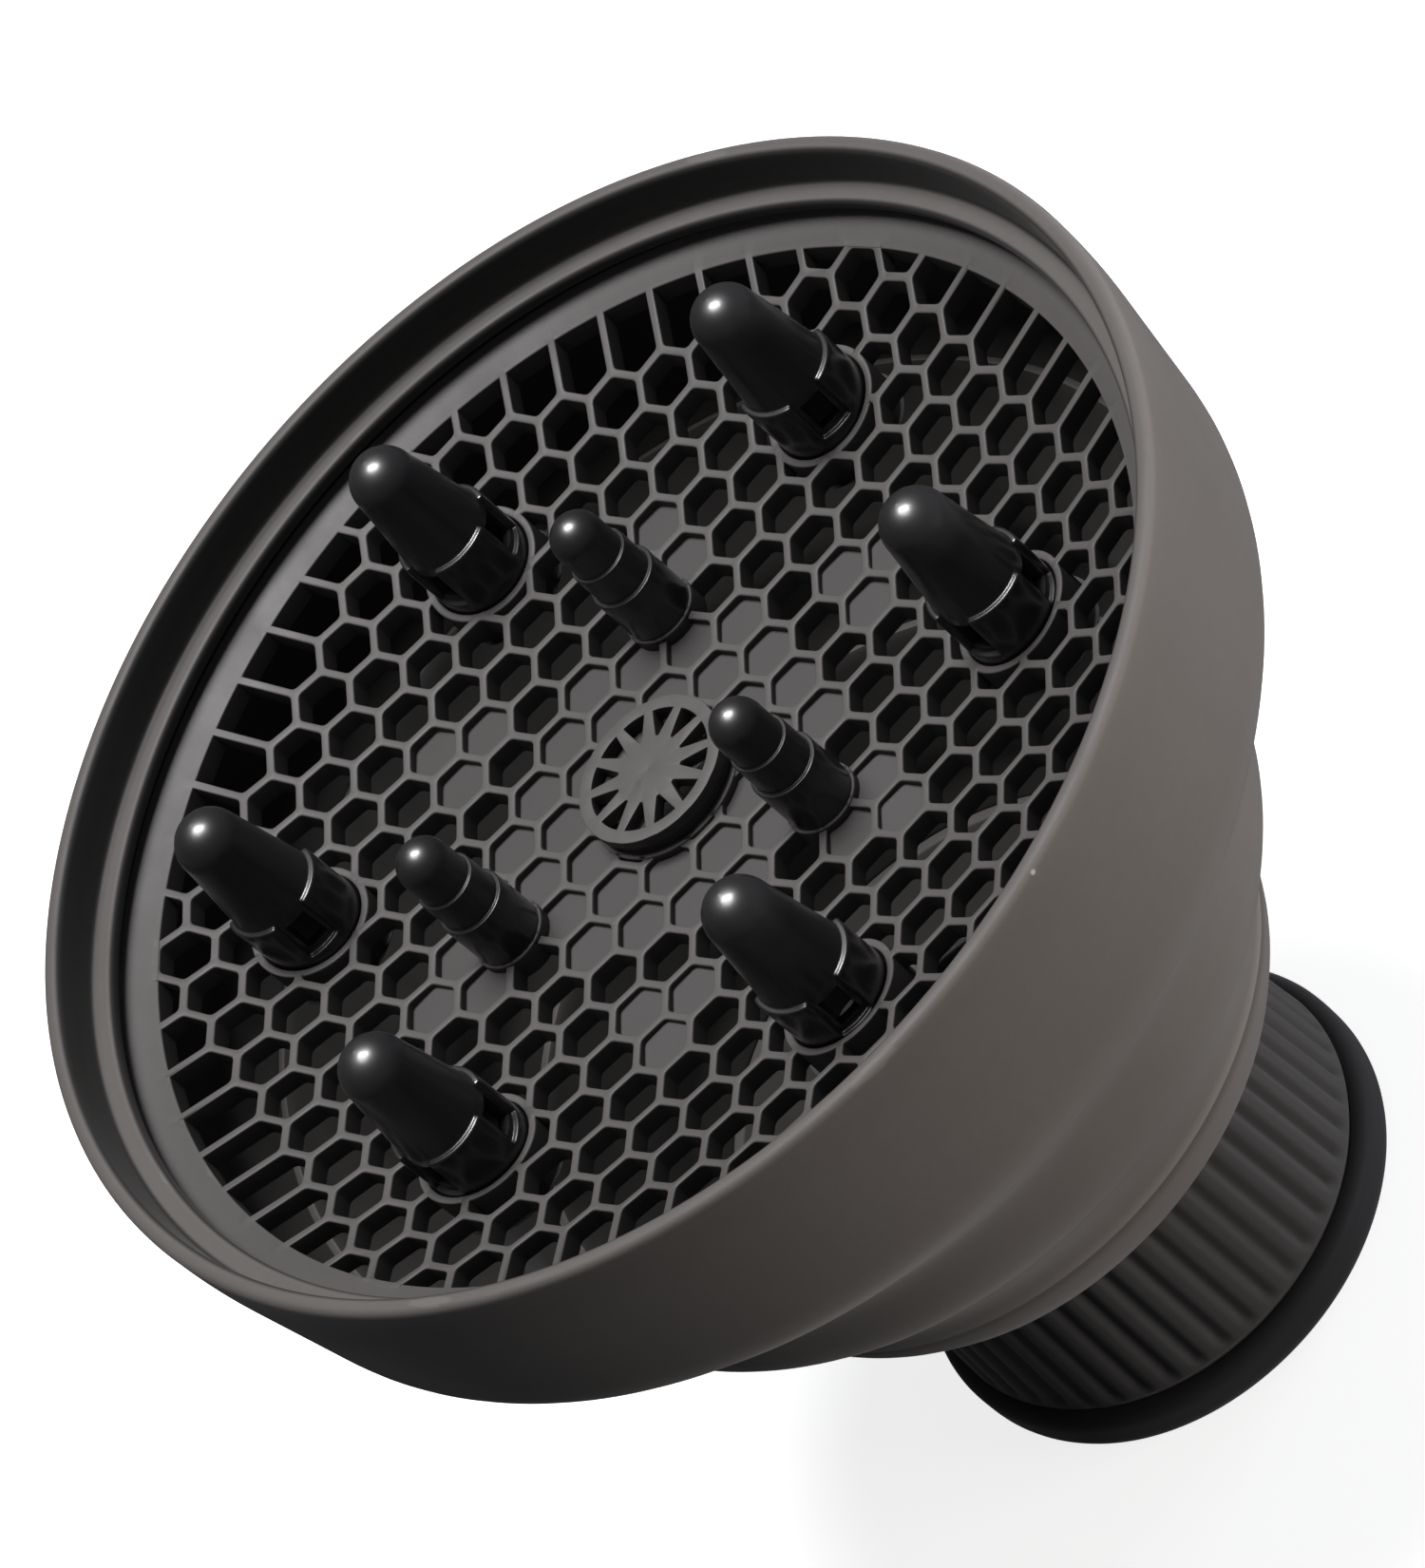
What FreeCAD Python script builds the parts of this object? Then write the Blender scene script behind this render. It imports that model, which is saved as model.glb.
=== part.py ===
import FreeCAD, Part
import math
import os

os.makedirs("parts", exist_ok=True)

# Collapsible silicone hair dryer diffuser. Millimetres, +Z up.
# The origin is the centre of the neck's mouth, which stands on the ground plane.

# Overall sizes
lip_r = 77.5                # outside radius of the bowl at its lip
face_z = 108.4              # height of the grille face at its centre
cell_pitch = 7.25           # distance between honeycomb cell centres
skin_gap = 0.3              # air left between parts that move past each other

# Bowl wall, from the lip down to its turned-in bottom edge
lip_rise = 9.0              # the grille's rim up to the lip
band_low_r = lip_r - 2.5
band_low_z = face_z - 10.2
edge_1_r = lip_r - 7.8
edge_1_z = face_z - 17.1
bowl_wall_t = 2.6
lip_t = 2.3
bead_gap = 1.0              # groove between the grille's rim and the bead over it
bead_t = 1.9
bead_reach = 3.2
bead_root = 0.3             # rounded corner where the bead leaves the wall
ledge_w = 2.4               # ledge that the grille's rim stands on
ledge_t = 1.6
ledge_taper_h = 5.5         # grille seat down to where the wall is plain again
ledge_taper_w = 1.2
ledge_play = 0.02           # the ledge's sloped top stays this far under the curved rim

# Upper and lower fold rings. Their radii step in evenly from the lip to the neck
ring_1_share = 0.580        # how far out from the neck's radius to the lip's each ring stands
ring_2_share = 0.305
ring_1_top_z = face_z - 31.6
ring_1_low_z = face_z - 41.2
ring_1_edge_z = face_z - 46.3
ring_2_top_z = face_z - 58.1
ring_2_low_z = face_z - 64.0
ring_2_edge_z = face_z - 69.1
ring_1_draft = 1.4          # a ring is this much narrower at the foot of its wall
ring_2_draft = 0.9
ring_1_turn_in = 3.5        # and its bottom edge turns in this much further
ring_2_turn_in = 3.5
ring_wall_t = 2.4
web_t = 1.2                 # thin fold webs between the rings
web_from = 0.33             # where a web leaves the face under an edge, as a share across it
web_inset = 0.4             # and this far inside the top of the next ring

# Neck that stretches over the dryer barrel
neck_bore_r = 26.0
neck_top_r = neck_bore_r + 2.8
neck_low_r = neck_bore_r + 4.6
neck_top_z = face_z - 74.8
neck_bead_r = neck_low_r + 2.0
neck_bead_h = 6.0
neck_groove_r = neck_low_r - 0.3
neck_groove_h = 0.9
flute_count = 48
flute_w = 1.3
flute_depth = 0.6
flute_low_gap = 0.8         # plain sleeve left below and above the flutes
flute_high_gap = 2.5
mouth_flare_r = neck_bore_r + 2.2
mouth_flare_h = 2.6
ring_1_top_r = neck_top_r + ring_1_share * (lip_r - neck_top_r)
ring_1_low_r = ring_1_top_r - ring_1_draft
ring_1_edge_r = ring_1_low_r - ring_1_turn_in
ring_2_top_r = neck_top_r + ring_2_share * (lip_r - neck_top_r)
ring_2_low_r = ring_2_top_r - ring_2_draft
ring_2_edge_r = ring_2_low_r - ring_2_turn_in

# Honeycomb grille
grille_t = 2.8
grille_r = lip_r - 4.3
mesh_r = grille_r - 4.7
cell_wall = 1.05
cell_rings = math.floor(mesh_r / cell_pitch) + 1    # the last ring is drawn out into slots at the rim
slot_reach = 2.5 * cell_pitch
smallest_cell = 0.12        # a clipped cell under this share of a whole one stays closed
sag_2 = 0.000731            # dish height = sag_2 * r^2 + sag_4 * r^4
sag_4 = 0.000000181
blind_depth = 1.0
blind_rings = 3
blind_group_in = 4.3 * cell_pitch       # the six groups of three blind cells lie between these
blind_group_out = 5.25 * cell_pitch
blind_group_deg = 8.0
seat_play = 0.15
fit_play = 0.05             # cap and studs in their holes
boss_rise = 0.25
boss_root = 0.2             # bosses start this far above the underside
collar_drop = 0.4           # finger sockets end this far under the grille

# Large hollow fingers
finger_count = 6
finger_circle_r = 6.8 * cell_pitch
finger_base_r = 6.5
socket_bore_r = finger_base_r + 0.25
socket_wall = 0.95
finger_foot_r = finger_base_r + 1.7
finger_foot_t = 1.2
finger_ledge_h = 7.9
finger_neck_r = finger_base_r - 0.75
finger_dome_r = finger_base_r - 2.15
finger_dome_h = 18.9
finger_wall = 1.4
pad_gap_deg = 40.0
pad_start_h = 1.0
window_w = 3.0
window_top_h = 6.6
window_low_h = 1.8

# Small solid fingers
small_count = 3
small_circle_r = 2.0 * math.sqrt(3.0) * cell_pitch
small_radii = [4.4, 3.85, 3.4]
small_heights = [7.5, 12.3]
small_dome_h = 16.0
small_stud_r = 2.0
small_boss_r = small_radii[0] + 0.3

# Centre cap with its rosette of openings
cap_r = 9.9
cap_top_h = 3.4
cap_top_t = 1.8
cap_skirt_r = cap_r - 0.5
cap_spigot_r = cap_skirt_r - 1.45
cap_bore_r = cap_spigot_r - 1.05
cap_hub_r = 4.5
cap_slot_r = cap_r - 1.7
cap_slots = 12
cap_spoke_w = 1.15          # at its outer end
cap_slot_tip_w = 0.4        # width of an opening at the hub
cap_hole_r = cap_spigot_r + fit_play
cap_boss_r = cap_r + 0.3
cap_spigot_h = 2.0

over = 1.0                  # cutting tools run this far past what they cut
tall = 30.0                 # and this far up past the fingers' sockets
Z_AXIS = FreeCAD.Vector(0, 0, 1)
ORIGIN = FreeCAD.Vector(0, 0, 0)


def point(r, z):
    """A point in the XZ half plane that the round parts are turned from."""
    return FreeCAD.Vector(r, 0, z)


def profile_edges(corners):
    """Closed outline from (r, z, rounding) corners, as lines and tangent arcs."""
    count = len(corners)
    entries = []
    for i in range(count):
        r, z, rounding = corners[i]
        here = point(r, z)
        if rounding <= 0:
            entries.append((here, here, None))
            continue
        before = point(*corners[i - 1][:2])
        after = point(*corners[(i + 1) % count][:2])
        to_before = (before - here).normalize()
        to_after = (after - here).normalize()
        half = to_before.getAngle(to_after) / 2.0
        reach = rounding / math.tan(half)
        start = here + to_before * reach
        end = here + to_after * reach
        bisector = (to_before + to_after).normalize()
        middle = here + bisector * (rounding / math.sin(half) - rounding)
        entries.append((start, end, middle))
    edges = []
    for i in range(count):
        start, end, middle = entries[i]
        if middle is not None:
            edges.append(Part.Arc(start, middle, end).toShape())
        next_start = entries[(i + 1) % count][0]
        if (next_start - end).Length > 1e-6:
            edges.append(Part.makeLine(end, next_start))
    return edges


def turned(corners):
    """Solid of revolution about Z from a closed outline of corners."""
    wire = Part.Wire(Part.__sortEdges__(profile_edges(corners)))
    return Part.Face(wire).revolve(ORIGIN, Z_AXIS, 360)


def cylinder(r, low, high, x=0.0, y=0.0):
    return Part.makeCylinder(r, high - low, FreeCAD.Vector(x, y, low), Z_AXIS)


def around(angle_deg, r):
    a = math.radians(angle_deg)
    return r * math.cos(a), r * math.sin(a)


def spin(shape, angle_deg):
    turned_shape = shape.copy()
    turned_shape.rotate(ORIGIN, Z_AXIS, angle_deg)
    return turned_shape


def face_height(r):
    """Height of the dished grille face at a radius."""
    return face_z + sag_2 * r ** 2 + sag_4 * r ** 4


def save(name, shape):
    shape = shape.removeSplitter()
    if not shape.isValid():
        raise RuntimeError(name + " is not a valid shape")
    if len(shape.Solids) != 1:
        raise RuntimeError(name + " has " + str(len(shape.Solids)) + " solids")
    shape.Solids[0].exportStep("parts/" + name + ".step")


# Bowl wall

def across_edge(low_r, low_z, edge_r, edge_z, wall):
    """Step inward and up across the face under a turned-in edge."""
    shoulder = math.hypot(low_r - edge_r, low_z - edge_z)
    return wall * (low_z - edge_z) / shoulder, wall * (low_r - edge_r) / shoulder


def bowl_wall():
    """Tall outer band: lip, bead over the grille, seat below it, turned-in bottom edge."""
    rim_top = face_height(grille_r)
    seat_z = rim_top - grille_t - ledge_play
    ledge_r = grille_r - ledge_w
    ledge_z = face_height(ledge_r) - grille_t - ledge_play
    lip_z = rim_top + lip_rise
    bead_low = rim_top + bead_gap
    bead_top = bead_low + bead_t
    inner_r = lip_r - lip_t
    groove_r = grille_r + seat_play
    low_in_r = band_low_r - bowl_wall_t
    shift_r, shift_z = across_edge(band_low_r, band_low_z, edge_1_r, edge_1_z, bowl_wall_t)
    corners = [
        (lip_r, lip_z, 1.1),
        (band_low_r, band_low_z, 9.0),
        (edge_1_r, edge_1_z, 0.9),
        (edge_1_r - shift_r, edge_1_z + shift_z, 0.5),
        (low_in_r, band_low_z + 0.3 * bowl_wall_t, 6.0),
        (groove_r - ledge_taper_w, seat_z - ledge_taper_h, 3.0),
        (ledge_r, ledge_z - ledge_t, 0.6),
        (ledge_r, ledge_z, 0.0),
        (groove_r, seat_z, 0.0),
        (groove_r, bead_low, 0.5),
        (inner_r - bead_reach, bead_low, 0.5),
        (inner_r - bead_reach, bead_top, 0.7),
        (inner_r - bead_root, bead_top, 0.5),
        (inner_r, lip_z, 1.0),
    ]
    return turned(corners)


# Fold rings and webs

def fold_ring(top_r, top_z, low_r, low_z, edge_r, edge_z):
    """One step of the folding wall: an upright wall with a turned-in bottom edge."""
    shift_r, shift_z = across_edge(low_r, low_z, edge_r, edge_z, ring_wall_t)
    corners = [
        (top_r, top_z, 0.5),
        (low_r, low_z, 4.5),
        (edge_r, edge_z, 0.8),
        (edge_r - shift_r, edge_z + shift_z, 0.5),
        (low_r - ring_wall_t, low_z + 0.3 * ring_wall_t, 2.5),
        (top_r - ring_wall_t, top_z, 0.5),
    ]
    return turned(corners)


def fold_web(low_r, low_z, edge_r, edge_z, wall, top_r, top_z):
    """Thin cone from the face under one turned-in edge down to the top of the next ring."""
    shift_r, shift_z = across_edge(low_r, low_z, edge_r, edge_z, wall)
    web_to = web_from + web_t / wall
    clear_r = edge_r - skin_gap * shift_z / wall
    clear_z = edge_z - skin_gap * shift_r / wall
    foot_r = top_r - web_inset
    foot_z = top_z + skin_gap
    slant = math.hypot(edge_r - foot_r, edge_z - foot_z)
    across = web_t * slant / (edge_z - foot_z)
    corners = [
        (clear_r - web_from * shift_r, clear_z + web_from * shift_z, 0.0),
        (foot_r, foot_z, 0.0),
        (foot_r - across, foot_z, 0.0),
        (clear_r - web_to * shift_r, clear_z + web_to * shift_z, 0.0),
    ]
    return turned(corners)


# Neck

def neck():
    """Fluted sleeve with a smooth bore for the barrel."""
    groove_top = neck_bead_h + neck_groove_h
    corners = [
        (neck_top_r, neck_top_z, 0.8),
        (neck_low_r, groove_top, 0.3),
        (neck_groove_r, groove_top - (neck_low_r - neck_groove_r), 0.0),
        (neck_groove_r, 0.0, 0.0),
        (mouth_flare_r, 0.0, 0.6),
        (neck_bore_r, mouth_flare_h, 0.0),
        (neck_bore_r, neck_top_z, 0.6),
    ]
    body = turned(corners)
    low = groove_top + flute_low_gap
    high = neck_top_z - flute_high_gap
    run = neck_top_z - groove_top
    lean = math.degrees(math.atan((neck_low_r - neck_top_r) / run))
    wall_r = neck_low_r - (neck_low_r - neck_top_r) * (low - groove_top) / run
    flute = Part.makeBox(flute_depth * 4, flute_w, high - low)
    flute.translate(FreeCAD.Vector(wall_r - flute_depth, -flute_w / 2.0, low))
    flute.rotate(FreeCAD.Vector(wall_r - flute_depth, 0, low), FreeCAD.Vector(0, 1, 0), -lean)
    flutes = [spin(flute, 360.0 * i / flute_count) for i in range(flute_count)]
    return body.cut(flutes)


def mouth_ring():
    """Smooth round bead that stiffens the end of the neck."""
    corners = [
        (neck_groove_r, neck_bead_h, 0.0),
        (neck_bead_r - 1.2, neck_bead_h, 0.0),
        (neck_bead_r, neck_bead_h - 1.2, 1.1),
        (neck_bead_r, 2.4, 1.8),
        (neck_bead_r - 1.8, 0.0, 1.2),
        (neck_groove_r, 0.0, 0.0),
    ]
    return turned(corners)


# Grille

def dish(low_z=None):
    """Dished blank of the grille, or everything under its face down to low_z."""
    steps = 8
    top = [point(grille_r * i / steps, face_height(grille_r * i / steps)) for i in range(steps + 1)]
    curve = Part.BSplineCurve()
    curve.interpolate(Points=top, InitialTangent=point(1, 0),
                      FinalTangent=point(1, 2 * sag_2 * grille_r + 4 * sag_4 * grille_r ** 3))
    edges = [curve.toShape()]
    if low_z is None:
        under = curve.copy()
        under.translate(point(0, -grille_t))
        edges.append(under.toShape())
        centre_low = face_z - grille_t
        rim_low = face_height(grille_r) - grille_t
    else:
        edges.append(Part.makeLine(point(0, low_z), point(grille_r, low_z)))
        centre_low = low_z
        rim_low = low_z
    edges.append(Part.makeLine(point(0, centre_low), point(0, face_z)))
    edges.append(Part.makeLine(point(grille_r, rim_low), point(grille_r, face_height(grille_r))))
    wire = Part.Wire(Part.__sortEdges__(edges))
    return Part.Face(wire).revolve(ORIGIN, Z_AXIS, 360)


def prism(outline, low, high):
    corners = [FreeCAD.Vector(x, y, low) for x, y in outline]
    corners.append(corners[0])
    return Part.Face(Part.makePolygon(corners)).extrude(FreeCAD.Vector(0, 0, high - low))


def hexagon(x, y):
    radius = (cell_pitch - cell_wall) / math.sqrt(3.0)
    return [(x + radius * math.cos(math.radians(30 + 60 * k)),
             y + radius * math.sin(math.radians(30 + 60 * k))) for k in range(6)]


def slot_outline(x, y, side_deg):
    """Honeycomb cell whose outward half is drawn out into a straight slot."""
    half = (cell_pitch - cell_wall) / 2.0
    radius = (cell_pitch - cell_wall) / math.sqrt(3.0)
    local = [(half, slot_reach), (-half, slot_reach), (-half, -radius / 2.0), (0, -radius),
             (half, -radius / 2.0)]
    turn = math.radians(side_deg - 90.0)
    return [(x + u * math.cos(turn) - v * math.sin(turn),
             y + u * math.sin(turn) + v * math.cos(turn)) for u, v in local]


def cell_centre(i, j):
    return cell_pitch * (i + 0.5 * j), cell_pitch * j * math.sqrt(3.0) / 2.0


def hex_distance(i, j):
    return max(abs(i), abs(j), abs(i + j))


def is_blind(i, j):
    """Cells with a floor: the middle, and six little groups of three around it."""
    if hex_distance(i, j) <= blind_rings:
        return True
    x, y = cell_centre(i, j)
    off_axis = abs(math.degrees(math.atan2(y, x)) % 60.0 - 30.0)
    return blind_group_in < math.hypot(x, y) < blind_group_out and off_axis < blind_group_deg


def finger_spots():
    return [around(60.0 * k, finger_circle_r) for k in range(finger_count)]


def small_spots():
    return [around(30.0 + 120.0 * k, small_circle_r) for k in range(small_count)]


def grille_cells():
    """Cutting tools for every honeycomb cell, trimmed around the finger seats."""
    low = face_z - grille_t - tall
    high = face_height(grille_r) + over
    cell_reach = cell_pitch / math.sqrt(3.0)
    seats = [(x, y, socket_bore_r + socket_wall) for x, y in finger_spots()]
    seats += [(x, y, small_boss_r) for x, y in small_spots()]
    seats.append((0.0, 0.0, cap_boss_r))
    rim = cylinder(mesh_r, low - over, high + over)
    full_area = 1.5 * math.sqrt(3.0) * ((cell_pitch - cell_wall) / math.sqrt(3.0)) ** 2
    tools = []
    for i in range(-cell_rings, cell_rings + 1):
        for j in range(-cell_rings, cell_rings + 1):
            ring = hex_distance(i, j)
            if ring > cell_rings:
                continue
            x, y = cell_centre(i, j)
            reach = math.hypot(x, y)
            if reach - cell_reach > mesh_r:
                continue
            if any(math.hypot(x - sx, y - sy) + cell_reach * 0.6 < sr for sx, sy, sr in seats):
                continue
            bottom = low
            if is_blind(i, j):
                bottom = face_height(reach) - blind_depth
            if ring == cell_rings:
                side = 30.0 + 60.0 * math.floor(math.degrees(math.atan2(y, x)) / 60.0)
                tool = prism(slot_outline(x, y, side), bottom, high)
            else:
                tool = prism(hexagon(x, y), bottom, high)
            if reach + 3.0 * cell_reach > mesh_r:
                tool = tool.common(rim)
            for sx, sy, sr in seats:
                if math.hypot(x - sx, y - sy) < sr + cell_reach:
                    tool = tool.cut(cylinder(sr, low - over, high + over, sx, sy))
            for piece in tool.Solids:
                if piece.Volume / (high - bottom) > smallest_cell * full_area:
                    tools.append(piece)
    return tools


def socket_low():
    """Level of the flat underside shared by the finger sockets."""
    return face_height(finger_circle_r - finger_foot_r) - grille_t - collar_drop


def grille():
    low = socket_low()
    under = dish(low)
    blank = dish()
    small_root = face_height(small_circle_r) - grille_t + boss_root
    collars = [cylinder(socket_bore_r + socket_wall, low, face_z + tall, x, y).common(under)
               for x, y in finger_spots()]
    bosses = [cylinder(small_boss_r, small_root, small_seat(), x, y) for x, y in small_spots()]
    bosses.append(cylinder(cap_boss_r, face_z - grille_t + boss_root, cap_seat()))
    body = blank.fuse(collars + bosses)
    cuts = grille_cells()
    cuts += [cylinder(socket_bore_r, low - over, face_z + tall, x, y) for x, y in finger_spots()]
    cuts += [cylinder(small_stud_r + fit_play, low - over, face_z + tall, x, y) for x, y in small_spots()]
    cuts.append(cylinder(cap_hole_r, low - over, face_z + tall))
    return body.cut(cuts)


# Centre cap

def cap_seat():
    return face_height(cap_boss_r) + boss_rise


def centre_cap():
    """Raised round cap: solid hub, twelve wedge openings and an outer ring."""
    seat = cap_seat()
    top = face_z + cap_top_h
    under = top - cap_top_t
    corners = [
        (0.0, top, 0.0),
        (cap_r, top, 0.5),
        (cap_r, under + 0.4, 0.3),
        (cap_skirt_r, under, 0.0),
        (cap_skirt_r, seat, 0.0),
        (cap_spigot_r, seat, 0.0),
        (cap_spigot_r, seat - cap_spigot_h, 0.2),
        (cap_bore_r, seat - cap_spigot_h, 0.2),
        (cap_bore_r, under, 0.4),
        (0.0, under, 0.0),
    ]
    body = turned(corners)
    step = 360.0 / cap_slots
    tip = math.degrees(math.asin(cap_slot_tip_w / 2.0 / cap_hub_r))
    end = step / 2.0 - math.degrees(math.asin(cap_spoke_w / 2.0 / cap_slot_r))
    outline = [around(-tip, cap_hub_r), around(-end, cap_slot_r),
               around(end, cap_slot_r), around(tip, cap_hub_r)]
    slot = prism(outline, under - over, top + over)
    slots = [spin(slot, step * (k + 0.5)) for k in range(cap_slots)]
    return body.cut(slots)


# Fingers

def large_finger(spot_deg):
    """Hollow finger: foot under the socket, three pads up to a ledge, domed tip."""
    seat = face_height(finger_circle_r)
    foot_top = socket_low()
    ledge = seat + finger_ledge_h
    dome = seat + finger_dome_h
    base = foot_top - finger_foot_t
    outside = [
        point(0, dome + finger_dome_r),
        point(finger_neck_r, ledge),
        point(finger_base_r, ledge),
        point(finger_base_r, foot_top),
        point(finger_foot_r, foot_top),
        point(finger_foot_r, base),
    ]
    dome_mid = point(finger_dome_r * math.cos(math.pi / 4), dome + finger_dome_r * math.sin(math.pi / 4))
    dome_end = point(finger_dome_r, dome)
    bore_r = finger_neck_r - finger_wall
    tip_r = finger_dome_r - finger_wall
    tip_mid = point(tip_r * math.cos(math.pi / 4), dome + tip_r * math.sin(math.pi / 4))
    tip_end = point(tip_r, dome)
    edges = [Part.Arc(outside[0], dome_mid, dome_end).toShape(), Part.makeLine(dome_end, outside[1])]
    edges += [Part.makeLine(outside[i], outside[i + 1]) for i in range(1, 5)]
    inside = [outside[5], point(bore_r, base), point(bore_r, ledge), tip_end]
    edges += [Part.makeLine(inside[i], inside[i + 1]) for i in range(3)]
    edges.append(Part.Arc(tip_end, tip_mid, point(0, dome + tip_r)).toShape())
    edges.append(Part.makeLine(point(0, dome + tip_r), outside[0]))
    body = Part.Face(Part.Wire(Part.__sortEdges__(edges))).revolve(ORIGIN, Z_AXIS, 360)
    gap_low = seat + pad_start_h
    cuts = []
    sector = Part.makeCylinder(finger_base_r + over, ledge - gap_low + over, point(0, gap_low),
                               Z_AXIS, pad_gap_deg)
    sector = sector.cut(cylinder(finger_neck_r, gap_low - over, ledge + 2.0 * over))
    sector = spin(sector, -pad_gap_deg / 2.0)
    window = Part.makeBox(finger_base_r + over, window_w, window_top_h - window_low_h,
                          FreeCAD.Vector(0, -window_w / 2.0, seat + window_low_h))
    for k in range(3):
        cuts.append(spin(sector, 120.0 * k))
        cuts.append(spin(window, 120.0 * k))
    body = spin(body.cut(cuts), spot_deg)
    x, y = around(spot_deg, finger_circle_r)
    body.translate(FreeCAD.Vector(x, y, 0))
    return body


def small_seat():
    return face_height(small_circle_r + small_boss_r) + boss_rise


def small_finger(spot_deg):
    """Solid finger with two round steps, a domed tip and a stud into the grille."""
    seat = small_seat()
    r_low, r_mid, r_high = small_radii
    step_1 = seat + small_heights[0]
    step_2 = seat + small_heights[1]
    dome = seat + small_dome_h
    stud_low = face_z - grille_t
    tip = point(0, dome + r_high)
    dome_mid = point(r_high * math.cos(math.pi / 4), dome + r_high * math.sin(math.pi / 4))
    spots = [point(r_high, dome), point(r_high, step_2), point(r_mid, step_2), point(r_mid, step_1),
             point(r_low, step_1), point(r_low, seat), point(small_stud_r, seat),
             point(small_stud_r, stud_low), point(0, stud_low)]
    edges = [Part.Arc(tip, dome_mid, spots[0]).toShape()]
    edges += [Part.makeLine(spots[i], spots[i + 1]) for i in range(len(spots) - 1)]
    edges.append(Part.makeLine(spots[-1], tip))
    body = Part.Face(Part.Wire(Part.__sortEdges__(edges))).revolve(ORIGIN, Z_AXIS, 360)
    x, y = around(spot_deg, small_circle_r)
    body.translate(FreeCAD.Vector(x, y, 0))
    return body


save("bowl_wall", bowl_wall())
save("fold_ring_upper", fold_ring(ring_1_top_r, ring_1_top_z, ring_1_low_r, ring_1_low_z,
                                  ring_1_edge_r, ring_1_edge_z))
save("fold_ring_lower", fold_ring(ring_2_top_r, ring_2_top_z, ring_2_low_r, ring_2_low_z,
                                  ring_2_edge_r, ring_2_edge_z))
save("fold_web_upper", fold_web(band_low_r, band_low_z, edge_1_r, edge_1_z, bowl_wall_t,
                                ring_1_top_r, ring_1_top_z))
save("fold_web_middle", fold_web(ring_1_low_r, ring_1_low_z, ring_1_edge_r, ring_1_edge_z, ring_wall_t,
                                 ring_2_top_r, ring_2_top_z))
save("fold_web_lower", fold_web(ring_2_low_r, ring_2_low_z, ring_2_edge_r, ring_2_edge_z, ring_wall_t,
                                neck_top_r, neck_top_z))
save("ribbed_neck", neck())
save("mouth_ring", mouth_ring())
save("honeycomb_grille", grille())
save("centre_cap", centre_cap())
for number in range(finger_count):
    save("large_finger_" + str(number + 1), large_finger(60.0 * number))
for number in range(small_count):
    save("small_finger_" + str(number + 1), small_finger(30.0 + 120.0 * number))
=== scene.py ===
import math

import bmesh
import bpy
from mathutils import Matrix, Quaternion, Vector, noise
from mathutils.geometry import delaunay_2d_cdt


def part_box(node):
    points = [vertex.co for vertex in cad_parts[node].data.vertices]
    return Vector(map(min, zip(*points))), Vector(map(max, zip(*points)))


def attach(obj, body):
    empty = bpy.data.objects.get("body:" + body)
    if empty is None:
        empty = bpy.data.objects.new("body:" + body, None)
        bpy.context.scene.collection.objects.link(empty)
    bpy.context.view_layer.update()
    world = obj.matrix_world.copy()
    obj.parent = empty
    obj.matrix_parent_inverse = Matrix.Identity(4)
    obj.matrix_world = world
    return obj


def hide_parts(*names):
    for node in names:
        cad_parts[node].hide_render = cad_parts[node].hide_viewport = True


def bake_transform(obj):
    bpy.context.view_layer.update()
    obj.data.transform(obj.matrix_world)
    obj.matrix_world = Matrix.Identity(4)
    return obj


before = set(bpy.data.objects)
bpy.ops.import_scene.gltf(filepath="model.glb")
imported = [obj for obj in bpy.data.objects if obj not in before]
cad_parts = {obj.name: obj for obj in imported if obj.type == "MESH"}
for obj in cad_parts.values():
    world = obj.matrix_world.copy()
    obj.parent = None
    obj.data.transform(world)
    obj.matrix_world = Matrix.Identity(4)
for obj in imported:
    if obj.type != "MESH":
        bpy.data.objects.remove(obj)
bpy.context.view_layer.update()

bl_info = {
    "name": "Folding Dryer Diffuser",
    "version": (1, 0, 0),
    "blender": (4, 5, 0),
    "location": "View3D > Sidebar > Diffuser",
    "description": "Builds a collapsible silicone hair dryer diffuser around its CAD frame",
    "category": "Add Mesh",
}

MM = 0.001

# Places and sizes read from the frame
BOWL_LOW, BOWL_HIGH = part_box("bowl_wall")
RING_1_LOW, RING_1_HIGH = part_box("fold_ring_upper")
RING_2_LOW, RING_2_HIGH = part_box("fold_ring_lower")
NECK_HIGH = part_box("ribbed_neck")[1]
BEAD_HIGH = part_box("mouth_ring")[1]
GRILLE_LOW, GRILLE_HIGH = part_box("honeycomb_grille")
CAP_LOW, CAP_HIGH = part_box("centre_cap")
LARGE_FINGERS = [name for name in sorted(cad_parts) if name.startswith("large_finger")]
SMALL_FINGERS = [name for name in sorted(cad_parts) if name.startswith("small_finger")]


def size(name, description, default_mm):
    """A length that a user would change, given in millimetres and held in metres."""
    return bpy.props.FloatProperty(
        name=name, description=description, default=default_mm * MM, min=0.0, precision=5,
        unit="LENGTH", subtype="DISTANCE")


def colour(name, description, default):
    """A linear colour that a user would change."""
    return bpy.props.FloatVectorProperty(
        name=name, description=description, default=default, size=3, min=0.0, max=1.0, subtype="COLOR")


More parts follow.
